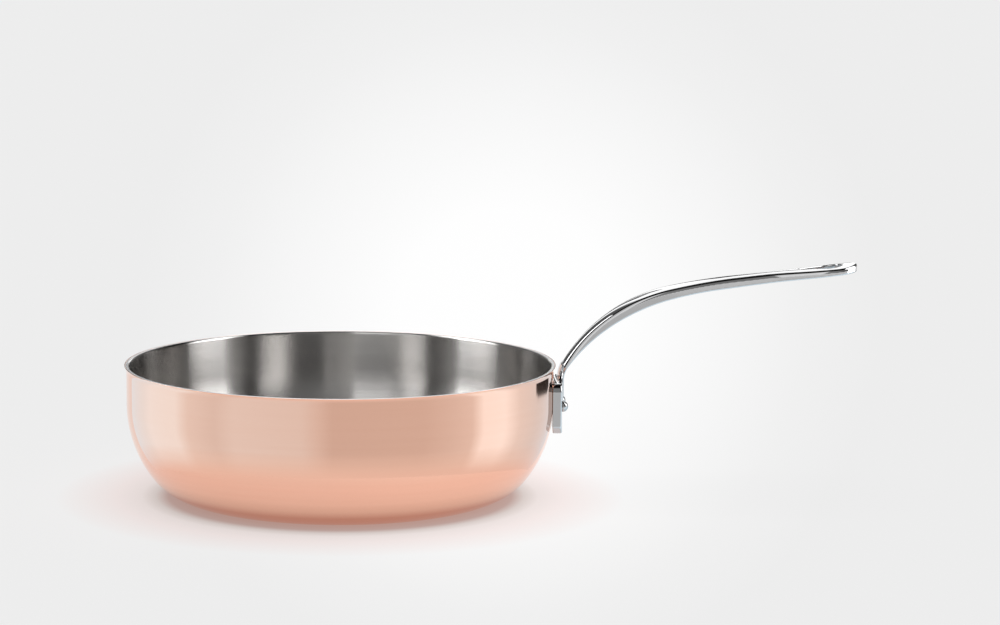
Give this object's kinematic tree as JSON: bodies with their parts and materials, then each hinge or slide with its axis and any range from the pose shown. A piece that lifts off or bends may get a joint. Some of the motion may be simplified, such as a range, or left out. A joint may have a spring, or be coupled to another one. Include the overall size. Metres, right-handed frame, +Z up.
{
  "type": "frying pan with riveted handle",
  "caption": "Round high-sided clad pan, copper outside and steel inside, with a flared rim and one long curved steel handle riveted to its wall; the handle ends in a hanging loop.",
  "frame": {"origin": "centre of the flat base's underside", "axes": "+X from the pan's axis towards the handle, +Z up through the open top"},
  "size_m": [0.4102, 0.242, 0.1319],
  "materials": {
    "copper": "satin copper with faint circular brush lines",
    "aluminium": "bare, seen only at the ground rim edge",
    "brushed_steel": "brushed around the pan",
    "polished_steel": "mirror-polished cast stainless steel",
    "rivet_steel": "satin stainless steel"
  },
  "bodies": {
    "root": {"copper_shell": "copper", "aluminium_core": "aluminium", "steel_liner": "brushed_steel", "handle": "polished_steel", "rivets": "rivet_steel"}
  },
  "joints": []
}
